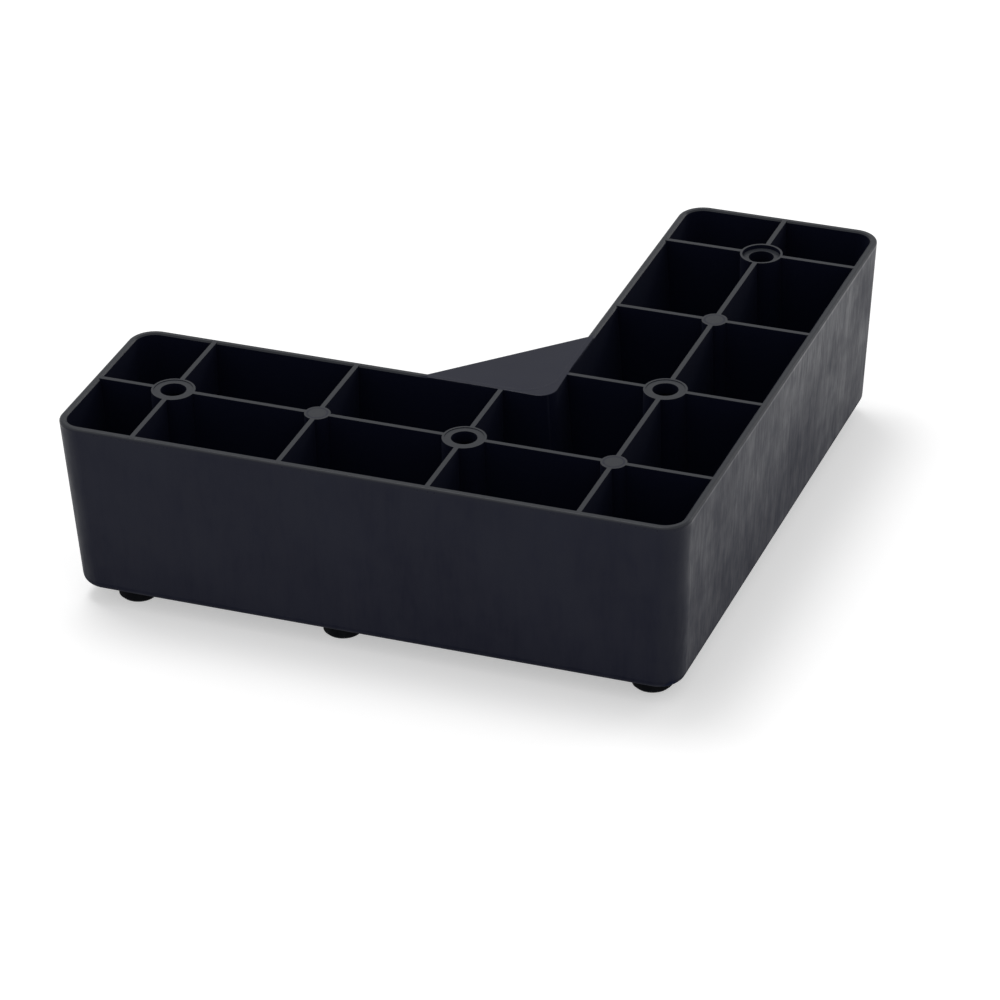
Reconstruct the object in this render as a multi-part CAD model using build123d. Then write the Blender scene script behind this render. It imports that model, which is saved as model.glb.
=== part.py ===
from build123d import *
from math import atan, degrees
import os

# L-shaped corner leg for a sofa or cabinet, moulded in one piece.
# Millimetres. Z is up, the floor is Z = 0 and the mounting face is on top.
# The outer corner is at (+X, -Y). One arm runs along -X from it, the other along +Y.

# Overall size
arm_length = 160.0
arm_width = 53.0
overall_height = 50.0
foot_height = 3.8

# Moulded shell
wall = 1.8
floor_thickness = 2.0
wall_lean = 2.6             # how far the foot of each outer wall leans in
outer_radius = 6.6          # upright edges
inner_radius = 8.6          # upright edge of the inner corner
base_fillet = 3.0
rim_fillet = 0.6            # outer edge of the rim
lip_chamfer = 0.35          # cavity edge of the rim

# Web across the inner corner
web_leg = 30.8
web_thickness = 3.0
web_step = 0.2
web_edge_fillet = 0.5

# Rib grid
rib_line = 26.0             # long rib, from the arm's outer wall
rib_top = 1.2
rib_base = 1.7
rib_pitch = 37.7
rib_stations = (1, 2, 3)

# Screw bosses
screw_stations = (1, 3)
screw_boss_top_r = 5.4
screw_boss_base_r = 5.9
screw_lip = 0.55
screw_dish_depth = 0.15
deep_dish_depth = 1.0       # the boss at the far end of one arm is bored deeper
screw_hole_r = 3.2
screw_seat = 3.0
head_clearance_r = 4.5

# Plain bosses where the other ribs cross; station 0 is where the long ribs meet
plain_stations = (0, 2)
plain_boss_r = 3.2

# Floor pads, by distance from the outer corner along an arm
corner_pad = 11.6
pad_stations = (90.3, 144.3)
pad_inset = 11.0
pad_r = 5.0
pad_chamfer = 0.7

# Dependent sizes
half = arm_length / 2
body_bottom = foot_height
body_height = overall_height - body_bottom
lean_angle = degrees(atan(wall_lean / body_height))
core_bottom = body_bottom + floor_thickness / 2
core_height = overall_height - core_bottom
overcut = 1.0               # how far a cutting shape runs past the face it opens


def across(point):
    """The same place on the other arm: a mirror in the leg's diagonal."""
    return (-point[1], -point[0])


def mirror_across(shape):
    """The shape carried to the other arm."""
    return mirror(shape, Plane(origin=(0, 0, 0), z_dir=(1, 1, 0)))


def along_arm(distance, inset):
    """A plan point on the left arm, from the outer corner and from the front wall."""
    return (half - distance, inset - half)


def leaning_l(bottom, inset):
    """L block from the rim down to a height, its walls leaning in and its upright edges round."""
    low = inset - half
    high = half - inset
    step = half - arm_width + inset
    plan = [(low, low), (high, low), (high, high), (step, high), (step, -step), (low, -step)]
    outline = Pos(0, 0, bottom) * make_face(Polyline(plan, close=True))
    block = extrude(outline, amount=overall_height - bottom)
    sides = block.faces().filter_by(Axis.Z, reverse=True)
    block = draft(sides, Plane.XY.offset(overall_height), -lean_angle)
    uprights = block.edges().filter_by(lambda edge: abs(edge.tangent_at(0).Z) > 0.5)
    uprights = uprights.sort_by_distance((step, -step, overall_height))
    block = fillet(uprights[1:], outer_radius - inset)
    inner_edge = block.edges().sort_by_distance((step, -step, (overall_height + bottom) / 2))[0]
    return fillet(inner_edge, inner_radius + inset)


def shell():
    """Open shell with a rounded base and a softened rim."""
    block = leaning_l(body_bottom, 0)
    block = fillet(block.edges().group_by(Axis.Z)[0], base_fillet)
    block = fillet(block.edges().group_by(Axis.Z)[-1], rim_fillet)
    hollow = block - leaning_l(body_bottom + floor_thickness, wall)
    rim = hollow.faces().sort_by(Axis.Z)[-1]
    return chamfer(rim.inner_wires()[0].edges(), lip_chamfer)


def corner_web():
    """Flat triangular web that bridges the inner corner just under the rim."""
    step = half - arm_width
    hold = step + wall / 2
    left = (step - web_leg, -step)
    right = (step, web_leg - step)
    plan = [left, right, (hold, right[1]), (hold, -hold), (left[0], -hold)]
    top = overall_height - web_step
    outline = Pos(0, 0, top - web_thickness) * make_face(Polyline(plan, close=True))
    plate = extrude(outline, amount=web_thickness)
    free_edge = plate.edges().sort_by_distance(((left[0] + right[0]) / 2, (left[1] + right[1]) / 2, top))[0]
    return fillet(free_edge, web_edge_fillet)


def rib(turn):
    """One drafted rib through the middle of the plan, along X, or along Y when turned."""
    top = rib_top / 2
    base = rib_base / 2
    profile = [(-top, 0), (top, 0), (base, -core_height), (-base, -core_height)]
    section = Plane.YZ * make_face(Polyline(profile, close=True))
    return Pos(0, 0, overall_height) * Rot(0, 0, turn) * extrude(section, amount=half, both=True)


def arm_zone():
    """Space over the left arm, which stops its cross ribs at the inner wall."""
    middle = Pos(0, (arm_width - arm_length) / 2, overall_height / 2)
    return middle * Box(arm_length, arm_width, overall_height)


def rib_grid():
    """A long rib down each arm and three cross ribs over each."""
    bars = [Pos(0, rib_line - half, 0) * rib(0)]
    for station in rib_stations:
        bars.append(Pos(half - rib_line - station * rib_pitch, 0, 0) * rib(90) & arm_zone())
    bars += [mirror_across(bar) for bar in bars]
    return bars[0].fuse(*bars[1:]) & leaning_l(core_bottom, wall / 2)


def boss_points(stations):
    """Rib crossings of the left arm at the named stations."""
    return [along_arm(rib_line + station * rib_pitch, rib_line) for station in stations]


def standing_cone(point, base_r, top_r, bottom, top):
    """Upright cone frustum between two heights."""
    return Pos(point[0], point[1], (bottom + top) / 2) * Cone(base_r, top_r, top - bottom)


def standing_cylinder(point, radius, bottom, top):
    """Upright cylinder between two heights."""
    return Pos(point[0], point[1], (bottom + top) / 2) * Cylinder(radius, top - bottom)


def screw_passage(point, dish_depth):
    """Head clearance from below, the screw hole, and the dished top."""
    over = overall_height + overcut
    dish_floor = overall_height - dish_depth
    seat = dish_floor - screw_seat
    return [
        standing_cylinder(point, head_clearance_r, 0, seat),
        standing_cylinder(point, screw_hole_r, seat - overcut, over),
        standing_cylinder(point, screw_boss_top_r - screw_lip, dish_floor, over),
    ]


def floor_pads():
    """Low round pads: one under the corner, and two rows under each arm."""
    points = [along_arm(corner_pad, corner_pad)]
    for distance in pad_stations:
        for inset in (pad_inset, arm_width - pad_inset):
            point = along_arm(distance, inset)
            points += [point, across(point)]
    pads = []
    for point in points:
        pad = standing_cylinder(point, pad_r, 0, core_bottom)
        pads.append(chamfer(pad.edges().group_by(Axis.Z)[0], pad_chamfer))
    return pads


def leg_body():
    """The whole moulding."""
    near_screws = boss_points(screw_stations)
    far_screws = [across(point) for point in near_screws]
    plain_points = boss_points(plain_stations)
    plain_points += [across(point) for point in plain_points[1:]]

    added = [corner_web(), rib_grid()]
    for point in near_screws + far_screws:
        added.append(standing_cone(point, screw_boss_base_r, screw_boss_top_r, core_bottom, overall_height))
    for point in plain_points:
        added.append(standing_cylinder(point, plain_boss_r, core_bottom, overall_height))
    body = shell().fuse(*added, *floor_pads())

    removed = screw_passage(far_screws[-1], deep_dish_depth)
    for point in near_screws + far_screws[:-1]:
        removed += screw_passage(point, screw_dish_depth)
    return body.cut(*removed)


os.makedirs("parts", exist_ok=True)
export_step(leg_body(), "parts/leg_body.step")
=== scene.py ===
# Black moulded corner leg of a sofa: an L of ribbed cells standing on round pads, open side up.
# Lengths are in metres and come from the frame: z = 0 is the floor, the rim is the top,
# the outer corner has the highest x and the lowest y.
import math

import bmesh
import bpy
from mathutils import Matrix, Vector


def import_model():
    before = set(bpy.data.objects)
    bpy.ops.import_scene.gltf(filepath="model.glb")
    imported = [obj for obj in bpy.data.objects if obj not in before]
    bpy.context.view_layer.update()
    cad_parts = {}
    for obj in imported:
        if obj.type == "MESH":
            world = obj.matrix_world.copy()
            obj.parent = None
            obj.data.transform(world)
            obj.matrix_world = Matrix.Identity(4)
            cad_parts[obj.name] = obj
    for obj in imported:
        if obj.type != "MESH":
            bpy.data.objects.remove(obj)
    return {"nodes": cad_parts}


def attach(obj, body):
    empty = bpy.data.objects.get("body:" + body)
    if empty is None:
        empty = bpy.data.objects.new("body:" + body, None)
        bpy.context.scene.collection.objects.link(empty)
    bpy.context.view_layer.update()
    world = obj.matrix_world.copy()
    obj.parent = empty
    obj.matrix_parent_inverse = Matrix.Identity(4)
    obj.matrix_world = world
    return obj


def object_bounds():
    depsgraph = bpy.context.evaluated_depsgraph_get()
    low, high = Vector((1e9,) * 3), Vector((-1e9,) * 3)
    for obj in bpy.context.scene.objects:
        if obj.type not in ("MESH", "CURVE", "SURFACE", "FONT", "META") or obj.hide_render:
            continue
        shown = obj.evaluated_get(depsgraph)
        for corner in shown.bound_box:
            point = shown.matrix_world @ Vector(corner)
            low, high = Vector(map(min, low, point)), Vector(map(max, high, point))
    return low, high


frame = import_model()
cad_low, cad_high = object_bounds()

MM = 0.001
LEG = frame["nodes"]["leg_body"]

# The leg's own sizes, in metres
HALF = cad_high.x
RIM_Z = cad_high.z
ARM_WIDTH = 53.0 * MM
INNER_STEP = HALF - ARM_WIDTH
FOOT_Z = 3.8 * MM
WALL_LEAN = 2.6 * MM
OUTER_RADIUS = 6.6 * MM
INNER_RADIUS = 8.6 * MM
INNER_ARC = INNER_STEP - INNER_RADIUS
BOSS_NEAR = HALF - 26.0 * MM
BOSS_FAR = HALF - 101.4 * MM
PLAIN_BOSSES = ((BOSS_NEAR, -BOSS_NEAR, 0), (BOSS_FAR, -BOSS_NEAR, 0), (BOSS_NEAR, -BOSS_FAR, 0))
BOSS_LINE_RADIUS = 2.45 * MM
WEB_LEG = 30.8 * MM
WEB_START = 2 * INNER_STEP - WEB_LEG

# Inner corner of the cells, in plan, in millimetres
WALL_FACE = 27.0
WALL_MIDDLE = 27.9
CELL_SIDE = 28.8
CORNER_END = 12.0
FACE_END = 2.9
CORNER_POINT = (29.5, -29.3)
CORNER_RADIUS = 4.6
WALL_MIDDLE_RADIUS = 9.5

# Heights of the two corner pieces, in metres
COLUMN_TOP = RIM_Z - 0.3 * MM
COLUMN_DEPTH = 44.2 * MM
COLUMN_LEAN = 2.5 * MM
FACE_TOP = RIM_Z - 0.01 * MM
FACE_DEPTH = 0.4 * MM
FACE_BEVEL = 0.14 * MM

# Camera of the catalogue view
VIEW_AZIMUTH = 21.018
VIEW_ELEVATION = 29.885
VIEW_ROLL = -1.256
CAMERA_PLACE = (0.4058, -1.0449, 0.6444)
LENS_MM = 184.58
SENSOR_MM = 36.0
NEAREST = 0.05
FARTHEST = 20

# Studio
FLOOR_SIZE = 6.0
FLOOR_COLOUR = (0.80, 0.80, 0.80, 1.0)
FLOOR_WHITE = 0.45
WORLD_LIGHT = 0.55
LIT_POINT = (0, 0, 0.03)

# Black plastic, zone by zone, with painted light and shade: lighter tops, edges and round corners,
# darker cells, pads and lower sides
BODY_BLACK = (0.0082, 0.0098, 0.0228, 1.0)
BODY_DARK_TONE_AND_SHADE = (0.0052, 0.0060, 0.0160, 1.0)
CELL_SHADE_TOP = (0.0005, 0.0016, 0.0105, 1.0)
CELL_SHADE_DEEP = (0.0060, 0.0105, 0.0330, 1.0)
RIM_PAINTED_LIGHT_GREY = (0.0300, 0.0325, 0.0390, 1.0)
RUB_WEAR_AND_HIGHLIGHT_GREY = (0.0420, 0.0440, 0.0490, 1.0)
EDGE_PAINTED_HIGHLIGHT_GREY = (0.0620, 0.0640, 0.0700, 1.0)
PAD_PAINTED_SHADE_BLACK = (0.0042, 0.0048, 0.0070, 1.0)
SATIN = 0.28
SPECULAR = 0.14
BUMP_STRENGTH = 0.35
BUMP_DISTANCE = 0.05 * MM

# Sockets of a Mix node that is set to colours
MIX_UNDER = 6
MIX_OVER = 7
MIX_RESULT = 2


def node(tree, kind, **settings):
    """Adds a shader node and sets its properties."""
    made = tree.nodes.new(kind)
    for name, value in settings.items():
        setattr(made, name, value)
    return made


def feed(tree, socket, value):
    """Links a socket to another one, or sets it to a plain value."""
    if isinstance(value, bpy.types.NodeSocket):
        tree.links.new(value, socket)
    else:
        socket.default_value = value


def calc(tree, operation, *values):
    """A Math node on the given values."""
    made = node(tree, "ShaderNodeMath", operation=operation)
    for socket, value in zip(made.inputs, values):
        feed(tree, socket, value)
    return made.outputs[0]


def vector_calc(tree, operation, *values):
    """A Vector Math node on the given vectors."""
    made = node(tree, "ShaderNodeVectorMath", operation=operation)
    for socket, value in zip(made.inputs, values):
        feed(tree, socket, value)
    gives_number = operation in ("LENGTH", "DISTANCE")
    return made.outputs["Value" if gives_number else "Vector"]


def split(tree, vector):
    """The three parts of a vector."""
    made = node(tree, "ShaderNodeSeparateXYZ")
    feed(tree, made.inputs[0], vector)
    return made.outputs


def smallest(tree, *values):
    """The least of several values."""
    result = values[0]
    for value in values[1:]:
        result = calc(tree, "MINIMUM", result, value)
    return result


def product(tree, *values):
    """Several masks laid over each other."""
    result = values[0]
    for value in values[1:]:
        result = calc(tree, "MULTIPLY", result, value)
    return result


def total(tree, *values):
    """Several values added up."""
    result = values[0]
    for value in values[1:]:
        result = calc(tree, "ADD", result, value)
    return result


def rest(tree, mask):
    """What a mask leaves over."""
    return calc(tree, "SUBTRACT", 1.0, mask)


def fade(tree, value, start, end, low=0.0, high=1.0):
    """Smooth change from low to high while the value goes from start to end."""
    made = node(tree, "ShaderNodeMapRange", interpolation_type="SMOOTHSTEP")
    feed(tree, made.inputs["Value"], value)
    limits = {"From Min": start, "From Max": end, "To Min": low, "To Max": high}
    for name, limit in limits.items():
        feed(tree, made.inputs[name], limit)
    return made.outputs["Result"]


def tint(tree, amount, under, over):
    """Colour that goes from one to the other by an amount."""
    made = node(tree, "ShaderNodeMix", data_type="RGBA")
    feed(tree, made.inputs["Factor"], amount)
    feed(tree, made.inputs[MIX_UNDER], under)
    feed(tree, made.inputs[MIX_OVER], over)
    return made.outputs[MIX_RESULT]


def stretched(tree, place, across, upright):
    """The place with its plan and its height scaled apart."""
    made = node(tree, "ShaderNodeMapping")
    feed(tree, made.inputs["Vector"], place)
    made.inputs["Scale"].default_value = (across, across, upright)
    return made.outputs["Vector"]


def noise(tree, place, scale, detail=2.0, roughness=0.5):
    """Soft random value over a place."""
    made = node(tree, "ShaderNodeTexNoise")
    feed(tree, made.inputs["Vector"], place)
    feed(tree, made.inputs["Scale"], scale)
    feed(tree, made.inputs["Detail"], detail)
    feed(tree, made.inputs["Roughness"], roughness)
    return made.outputs["Fac"]


def effect(name, inputs, outputs):
    """Empty node group with named inputs and outputs, and its two end nodes."""
    tree = bpy.data.node_groups.new(name, "ShaderNodeTree")
    for label, kind in inputs.items():
        tree.interface.new_socket(label, in_out="INPUT", socket_type=kind)
    for label, kind in outputs.items():
        tree.interface.new_socket(label, in_out="OUTPUT", socket_type=kind)
    return tree, node(tree, "NodeGroupInput").outputs, node(tree, "NodeGroupOutput").inputs


def place_effect(tree, group, **values):
    """Puts an effect into a material and gives its outputs."""
    made = node(tree, "ShaderNodeGroup", node_tree=group)
    for name, value in values.items():
        feed(tree, made.inputs[name.replace("_", " ")], value)
    return made.outputs


def inside_arm(tree, plan, centre, reach):
    """Distance into the plan of one arm, a rectangle with rounded corners."""
    offset = vector_calc(tree, "ABSOLUTE", vector_calc(tree, "SUBTRACT", plan, centre))
    straight = (reach[0] - OUTER_RADIUS, reach[1] - OUTER_RADIUS, 0)
    past = vector_calc(tree, "SUBTRACT", offset, straight)
    rounded = vector_calc(tree, "LENGTH", vector_calc(tree, "MAXIMUM", past, (0, 0, 0)))
    along, aside, _ = split(tree, past)
    flat = calc(tree, "MINIMUM", calc(tree, "MAXIMUM", along, aside), 0.0)
    return calc(tree, "SUBTRACT", OUTER_RADIUS, calc(tree, "ADD", rounded, flat))


def inside_corner(tree, plan):
    """Distance into the round filling of the inner corner."""
    x, y, _ = split(tree, plan)
    arc_centre = (INNER_ARC, -INNER_ARC, 0)
    reach = vector_calc(tree, "LENGTH", vector_calc(tree, "SUBTRACT", plan, arc_centre))
    return smallest(
        tree,
        calc(tree, "SUBTRACT", reach, INNER_RADIUS),
        calc(tree, "SUBTRACT", INNER_RADIUS + 5 * MM, reach),
        calc(tree, "SUBTRACT", x, INNER_ARC),
        calc(tree, "SUBTRACT", -INNER_ARC, y),
    )


def inside_leg(tree, place):
    """Distance into the plan of the whole L."""
    plan = vector_calc(tree, "MULTIPLY", place, (1, 1, 0))
    middle = (HALF + INNER_STEP) / 2
    arm_reach = ARM_WIDTH / 2
    front_arm = inside_arm(tree, plan, (0, -middle, 0), (HALF, arm_reach))
    side_arm = inside_arm(tree, plan, (middle, 0, 0), (arm_reach, HALF))
    arms = calc(tree, "MAXIMUM", front_arm, side_arm)
    return calc(tree, "MAXIMUM", arms, inside_corner(tree, plan))


def web_zone(tree, x, y):
    """The corner web and the rim beside it, which are one flat face."""
    limit = INNER_STEP + 2.3 * MM
    soft = 0.3 * MM
    return product(
        tree,
        fade(tree, calc(tree, "SUBTRACT", x, y), WEB_START, WEB_START + 2 * MM),
        fade(tree, x, limit + soft, limit - soft),
        fade(tree, y, -limit - soft, -limit + soft),
    )


def boss_ring_shade_mask(tree, place):
    """Thin ring of painted shade just inside the edge of each plain boss."""
    plan = vector_calc(tree, "MULTIPLY", place, (1, 1, 0))
    reaches = [vector_calc(tree, "DISTANCE", plan, point) for point in PLAIN_BOSSES]
    off_line = calc(tree, "SUBTRACT", smallest(tree, *reaches), BOSS_LINE_RADIUS)
    off_line = calc(tree, "ABSOLUTE", off_line)
    return fade(tree, off_line, 0.36 * MM, 0.12 * MM)


def zones_effect():
    """Where a point lies on the leg, one mask for each kind of place."""
    masks = ("Rim", "Cell", "Side", "Corner", "Low", "Pad", "Edge", "Edge Line", "Base", "Boss Ring Shade")
    tree, given, result = effect(
        "zones_of_the_leg",
        {"Place": "NodeSocketVector", "Facing": "NodeSocketVector"},
        {mask: "NodeSocketFloat" for mask in masks},
    )
    x, y, z = split(tree, given["Place"])
    face_x, face_y, face_z = split(tree, given["Facing"])
    depth = calc(tree, "SUBTRACT", RIM_Z, z)
    lean = calc(tree, "MULTIPLY", depth, WALL_LEAN / (RIM_Z - FOOT_Z))
    inside = calc(tree, "SUBTRACT", inside_leg(tree, given["Place"]), lean)
    upward = fade(tree, face_z, 0.25, 0.70)
    high = fade(tree, depth, 1.9 * MM, 1.2 * MM)
    top = product(tree, upward, high)

    # Rim, rib tops and boss tops, then the cells between them
    past_edge = fade(tree, inside, -0.35 * MM, 0.05 * MM)
    rim = product(tree, top, past_edge, rest(tree, web_zone(tree, x, y)))
    boss_ring_shade = product(tree, top, boss_ring_shade_mask(tree, given["Place"]))
    past_wall = fade(tree, inside, 0.85 * MM, 1.35 * MM)
    over_floor = fade(tree, z, 4.2 * MM, 5.2 * MM)
    cell = product(tree, past_wall, over_floor, rest(tree, top))

    # Upright faces and their round corners
    side = fade(tree, calc(tree, "ABSOLUTE", face_z), 0.55, 0.15)
    turned = calc(tree, "ABSOLUTE", calc(tree, "MULTIPLY", face_x, face_y))
    corner = product(tree, fade(tree, turned, 0.06, 0.40), rest(tree, cell))
    low = fade(tree, z, RIM_Z, FOOT_Z)

    # Rounded outer edge of the rim, and the line where the side starts under it
    outer = fade(tree, inside, 0.45 * MM, 0.25 * MM)
    in_fillet = fade(tree, depth, 0.70 * MM, 0.25 * MM)
    edge = product(tree, outer, in_fillet, fade(tree, face_z, 0.90, 0.60))
    line_start = fade(tree, depth, 0.40 * MM, 0.65 * MM)
    line_end = fade(tree, depth, 1.50 * MM, 0.90 * MM)
    edge_line = product(tree, line_start, line_end, outer, side)

    # Underside: the round base edge and the pads
    near_base = fade(tree, z, FOOT_Z + 3.4 * MM, FOOT_Z + 1.4 * MM)
    base = product(tree, near_base, fade(tree, face_z, 0.0, -0.25))
    pad = fade(tree, z, FOOT_Z, FOOT_Z - 0.2 * MM)

    values = (rim, cell, side, corner, low, pad, edge, edge_line, base, boss_ring_shade)
    for socket, value in zip(result, values):
        feed(tree, socket, value)
    return tree


def draw_streaks_effect():
    """Upright streaks that a deep mould leaves as the piece is drawn out of it."""
    tree, given, result = effect(
        "draw_streaks",
        {"Place": "NodeSocketVector"},
        {"Fine": "NodeSocketFloat", "Broad": "NodeSocketFloat"},
    )
    fine = noise(tree, stretched(tree, given["Place"], 1.0, 0.12), 900.0, 3.0, 0.68)
    broad = noise(tree, stretched(tree, given["Place"], 1.0, 0.28), 170.0, 3.0, 0.60)
    feed(tree, result["Fine"], fade(tree, fine, 0.30, 0.70))
    feed(tree, result["Broad"], fade(tree, broad, 0.32, 0.68))
    return tree


def sheen_effect():
    """Cloudy changes of sheen over a satin moulding."""
    tree, given, result = effect(
        "cloudy_sheen",
        {"Place": "NodeSocketVector"},
        {"Cloud": "NodeSocketFloat", "Mottle": "NodeSocketFloat"},
    )
    feed(tree, result["Cloud"], fade(tree, noise(tree, given["Place"], 34.0, 2.0, 0.5), 0.32, 0.68))
    feed(tree, result["Mottle"], fade(tree, noise(tree, given["Place"], 210.0, 3.0, 0.55), 0.30, 0.70))
    return tree


def grain_effect():
    """Fine spark grain of the mould's face."""
    tree, given, result = effect(
        "spark_grain",
        {"Place": "NodeSocketVector"},
        {"Height": "NodeSocketFloat"},
    )
    coarse = noise(tree, given["Place"], 1700.0, 2.0, 0.6)
    fine = noise(tree, given["Place"], 5200.0, 1.0, 0.5)
    feed(tree, result["Height"], calc(tree, "ADD", coarse, calc(tree, "MULTIPLY", fine, 0.4)))
    return tree


def rub_effect():
    """Rubbed marks on edges that meet other things in a box or a hand."""
    tree, given, result = effect(
        "rubbed_edges",
        {"Place": "NodeSocketVector"},
        {"Rub": "NodeSocketFloat"},
    )
    patches = fade(tree, noise(tree, given["Place"], 95.0, 3.0, 0.6), 0.46, 0.66)
    specks = fade(tree, noise(tree, given["Place"], 1400.0, 2.0, 0.7), 0.50, 0.66)
    feed(tree, result["Rub"], product(tree, patches, specks))
    return tree


def new_material(name):
    """An empty node material."""
    material = bpy.data.materials.new(name)
    material.use_nodes = True
    material.node_tree.nodes.clear()
    return material


def black_plastic():
    """Satin black plastic of the whole moulding, with its zones, streaks, grain and rubbed edges, and
    painted light and shade: lighter tops, edges and round corners, darker cells, pads and lower sides.
    """
    material = new_material("black_moulded_plastic")
    tree = material.node_tree
    place = node(tree, "ShaderNodeTexCoord").outputs["Object"]
    facing = node(tree, "ShaderNodeNewGeometry").outputs["Normal"]
    zones = place_effect(tree, zones_effect(), Place=place, Facing=facing)
    streaks = place_effect(tree, draw_streaks_effect(), Place=place)
    sheen = place_effect(tree, sheen_effect(), Place=place)
    grain = place_effect(tree, grain_effect(), Place=place)
    rub = place_effect(tree, rub_effect(), Place=place)

    outside = rest(tree, zones["Cell"])
    drawn = product(tree, streaks["Fine"], zones["Side"], outside)
    banded = product(tree, streaks["Broad"], zones["Side"], outside)

    # Random cloudy tone and broad bands, and painted shade that darkens the sides towards the bottom
    # (Low)
    shade = total(
        tree,
        product(tree, sheen["Cloud"], 0.35),
        product(tree, banded, 0.12),
        product(tree, zones["Low"], 0.35),
    )
    colour = tint(tree, shade, BODY_BLACK, BODY_DARK_TONE_AND_SHADE)
    # Painted shade: the pads darker, as they stand in the shade under the leg
    colour = tint(tree, zones["Pad"], colour, PAD_PAINTED_SHADE_BLACK)
    # Painted light: the rim, rib and boss tops lighter than the body, as light from above falls on
    # them
    colour = tint(tree, zones["Rim"], colour, RIM_PAINTED_LIGHT_GREY)
    # Painted shade: a dark ring just inside the edge of each plain boss, where a shallow step would
    # shade
    colour = tint(tree, product(tree, zones["Boss Ring Shade"], 0.85), colour, BODY_BLACK)
    colour = tint(tree, product(tree, zones["Rim"], rub["Rub"], 0.35), colour, RUB_WEAR_AND_HIGHLIGHT_GREY)
    # Painted highlight: a lighter line along the rounded outer edge of the rim
    colour = tint(tree, product(tree, zones["Edge"], 0.35), colour, EDGE_PAINTED_HIGHLIGHT_GREY)
    # Painted highlight: the round upright corners made lighter with the rub colour
    colour = tint(tree, product(tree, zones["Corner"], 0.10), colour, RUB_WEAR_AND_HIGHLIGHT_GREY)
    # Painted shade: the deep cells far darker than the body, with a little more blue towards their
    # floors
    colour = tint(tree, zones["Cell"], colour, tint(tree, zones["Low"], CELL_SHADE_TOP, CELL_SHADE_DEEP))

    underside = calc(tree, "MAXIMUM", zones["Pad"], zones["Base"])
    rough = total(
        tree,
        SATIN,
        product(tree, drawn, 0.10),
        product(tree, banded, 0.08),
        product(tree, sheen["Cloud"], zones["Side"], outside, 0.09),
        product(tree, zones["Low"], zones["Side"], 0.085),
        product(tree, zones["Cell"], 0.55),
        product(tree, underside, 0.45),
        product(tree, sheen["Mottle"], 0.06),
        product(tree, zones["Edge Line"], -0.12),
    )

    height = total(
        tree,
        product(tree, drawn, 0.30),
        product(tree, banded, 0.45),
        product(tree, grain["Height"], 0.20),
    )
    bump = node(tree, "ShaderNodeBump")
    feed(tree, bump.inputs["Height"], height)
    bump.inputs["Strength"].default_value = BUMP_STRENGTH
    bump.inputs["Distance"].default_value = BUMP_DISTANCE

    shader = node(tree, "ShaderNodeBsdfPrincipled")
    feed(tree, shader.inputs["Base Color"], colour)
    feed(tree, shader.inputs["Roughness"], rough)
    feed(tree, shader.inputs["Normal"], bump.outputs["Normal"])
    shader.inputs["Specular IOR Level"].default_value = SPECULAR
    output = node(tree, "ShaderNodeOutputMaterial")
    feed(tree, output.inputs["Surface"], shader.outputs["BSDF"])
    return material


def rounded_plan(shape, plan, height, radii):
    """Flat face over a plan, with some of its corners rounded; plan and radii are in millimetres."""
    points = [shape.verts.new((x * MM, y * MM, height)) for x, y in plan]
    shape.faces.new(points)
    for index, radius in radii.items():
        bmesh.ops.bevel(
            shape,
            geom=[points[index]],
            offset=radius * MM,
            offset_type="OFFSET",
            affect="VERTICES",
            segments=16,
            profile=0.5,
            material=-1,
        )
    return list(shape.faces)


def sink(shape, faces, depth, shift):
    """Carries a flat face down to make a closed block of it, its foot moved along the plan."""
    made = bmesh.ops.extrude_face_region(shape, geom=faces, use_keep_orig=True)["geom"]
    foot = [item for item in made if isinstance(item, bmesh.types.BMVert)]
    bmesh.ops.translate(shape, verts=foot, vec=(shift, -shift, -depth))
    bmesh.ops.recalc_face_normals(shape, faces=shape.faces)


def new_piece(name, shape, material):
    """A piece of the leg from a finished shape."""
    mesh = bpy.data.meshes.new(name)
    shape.to_mesh(mesh)
    shape.free()
    made = bpy.data.objects.new(name, mesh)
    bpy.context.scene.collection.objects.link(made)
    made.data.materials.append(material)
    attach(made, "root")


def corner_column(material):
    """Filling of the inner corner inside its cell, from the floor of the cell to the rim."""
    shape = bmesh.new()
    plan = [
        (CORNER_END, -WALL_MIDDLE),
        (WALL_MIDDLE, -WALL_MIDDLE),
        (WALL_MIDDLE, -CORNER_END),
        (CELL_SIDE, -CORNER_END),
        CORNER_POINT,
        (CORNER_END, -CELL_SIDE),
    ]
    faces = rounded_plan(shape, plan, COLUMN_TOP, {1: WALL_MIDDLE_RADIUS, 4: CORNER_RADIUS})
    sink(shape, faces, COLUMN_DEPTH, COLUMN_LEAN)
    new_piece("inner_corner_column", shape, material)


def corner_face(material):
    """One flat face over the web, the rim beside it and the inner corner."""
    shape = bmesh.new()
    plan = [
        (-FACE_END, -WALL_FACE),
        (WALL_FACE, FACE_END),
        (CELL_SIDE, FACE_END),
        (CELL_SIDE, -CORNER_END),
        CORNER_POINT,
        (CORNER_END, -CELL_SIDE),
        (-FACE_END, -CELL_SIDE),
    ]
    faces = rounded_plan(shape, plan, FACE_TOP, {4: CORNER_RADIUS})
    sink(shape, faces, FACE_DEPTH, 0.0)
    middle = FACE_TOP - FACE_DEPTH / 2
    upper = [edge for edge in shape.edges if all(vert.co.z > middle for vert in edge.verts)]
    bmesh.ops.bevel(
        shape,
        geom=upper,
        offset=FACE_BEVEL,
        offset_type="OFFSET",
        affect="EDGES",
        segments=2,
        profile=0.5,
        material=-1,
    )
    new_piece("corner_face", shape, material)


def background_rays(tree):
    """1 for the rays that show the background: camera, glossy and transmission rays."""
    rays = node(tree, "ShaderNodeLightPath").outputs
    seen = calc(tree, "MAXIMUM", rays["Is Camera Ray"], rays["Is Glossy Ray"])
    return calc(tree, "MAXIMUM", seen, rays["Is Transmission Ray"])


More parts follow.
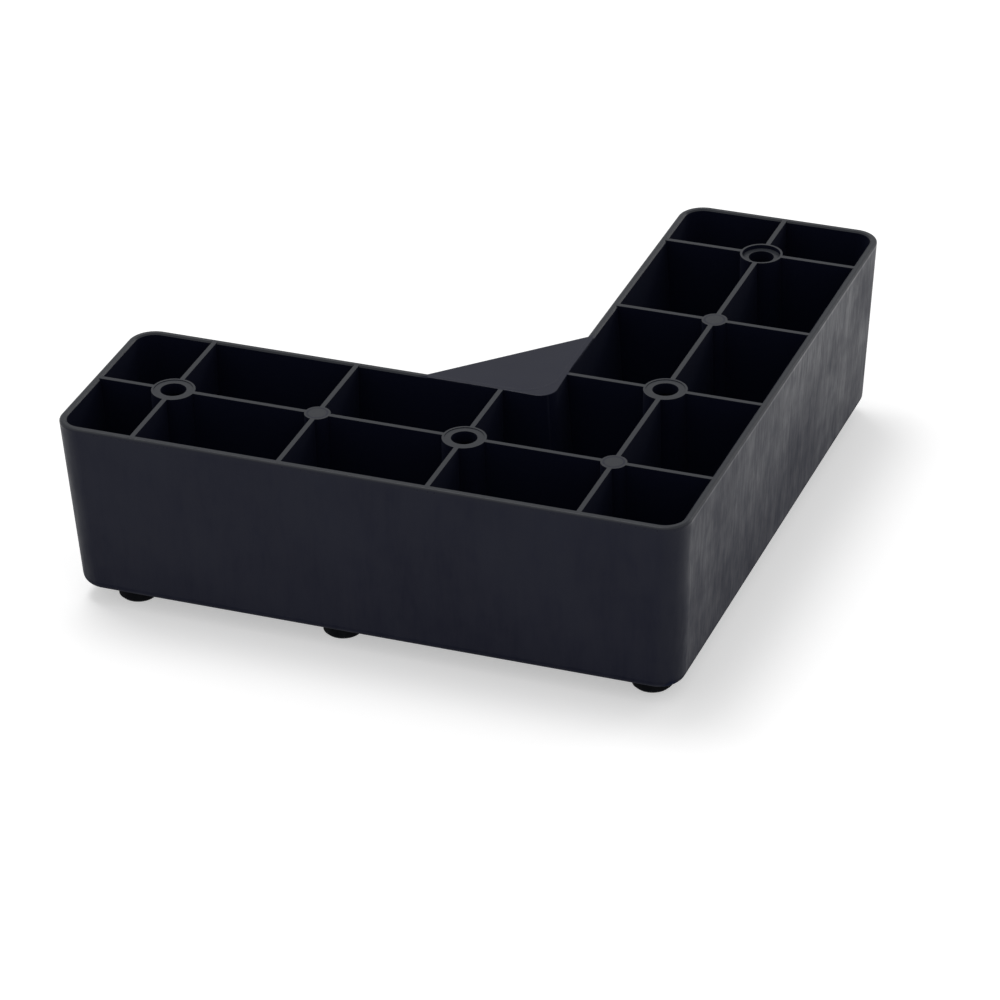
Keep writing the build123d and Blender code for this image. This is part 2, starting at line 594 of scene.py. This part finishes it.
def floor_material():
    """White sweep: a diffuse floor that keeps the shadow, lifted to white where it is seen."""
    material = new_material("white_sweep")
    tree = material.node_tree
    diffuse = node(tree, "ShaderNodeBsdfDiffuse")
    diffuse.inputs["Color"].default_value = FLOOR_COLOUR
    glow = node(tree, "ShaderNodeEmission")
    feed(tree, glow.inputs["Strength"], calc(tree, "MULTIPLY", background_rays(tree), FLOOR_WHITE))
    both = node(tree, "ShaderNodeAddShader")
    feed(tree, both.inputs[0], diffuse.outputs[0])
    feed(tree, both.inputs[1], glow.outputs[0])
    output = node(tree, "ShaderNodeOutputMaterial")
    feed(tree, output.inputs["Surface"], both.outputs[0])
    return material


def floor():
    """Flat floor under the pads."""
    shape = bmesh.new()
    bmesh.ops.create_grid(shape, x_segments=1, y_segments=1, size=FLOOR_SIZE / 2)
    mesh = bpy.data.meshes.new("floor")
    shape.to_mesh(mesh)
    shape.free()
    made = bpy.data.objects.new("floor", mesh)
    bpy.context.scene.collection.objects.link(made)
    made.data.materials.append(floor_material())


def world():
    """White behind the object, and a plain soft light on it."""
    made = bpy.data.worlds.new("studio")
    bpy.context.scene.world = made
    made.use_nodes = True
    tree = made.node_tree
    tree.nodes.clear()
    shade = node(tree, "ShaderNodeBackground")
    feed(tree, shade.inputs["Strength"], fade(tree, background_rays(tree), 0.0, 1.0, WORLD_LIGHT, 1.0))
    output = node(tree, "ShaderNodeOutputWorld")
    feed(tree, output.inputs["Surface"], shade.outputs[0])


def soft_box(name, place, width, height, power):
    """Rectangular soft light aimed at the leg."""
    lamp = bpy.data.lights.new(name, "AREA")
    lamp.shape = "RECTANGLE"
    lamp.size = width
    lamp.size_y = height
    lamp.energy = power
    made = bpy.data.objects.new(name, lamp)
    bpy.context.scene.collection.objects.link(made)
    made.location = place
    aim = Vector(LIT_POINT) - Vector(place)
    made.rotation_euler = aim.to_track_quat("-Z", "Y").to_euler()


def lights():
    """A soft box high over the leg, and a low one behind it that draws a line along its edges."""
    soft_box("overhead_box", (-0.45, 0.30, 1.90), width=0.9, height=0.9, power=16)
    soft_box("edge_box", (1.15, 1.75, 0.95), width=0.9, height=0.5, power=4)


def camera():
    """The camera of the catalogue view, held at its measured place and turn."""
    azimuth = math.radians(VIEW_AZIMUTH)
    elevation = math.radians(VIEW_ELEVATION)
    level = math.cos(elevation)
    back = Vector((math.sin(azimuth) * level, -math.cos(azimuth) * level, math.sin(elevation)))
    right = (-back).cross(Vector((0, 0, 1))).normalized()
    up = back.cross(right)
    roll = Matrix.Rotation(math.radians(VIEW_ROLL), 3, "Z")
    turn = Matrix((right, up, back)).transposed() @ roll
    lens = bpy.data.cameras.new("catalogue_camera")
    lens.lens = LENS_MM
    lens.sensor_width = SENSOR_MM
    lens.sensor_fit = "HORIZONTAL"
    lens.clip_start = NEAREST
    lens.clip_end = FARTHEST
    made = bpy.data.objects.new("catalogue_camera", lens)
    bpy.context.scene.collection.objects.link(made)
    made.matrix_world = Matrix.Translation(CAMERA_PLACE) @ turn.to_4x4()
    bpy.context.scene.camera = made


plastic = black_plastic()
LEG.material_slots[0].material = plastic
corner_column(plastic)
corner_face(plastic)
floor()
world()
lights()
camera()
bpy.context.scene.view_settings.view_transform = "Standard"
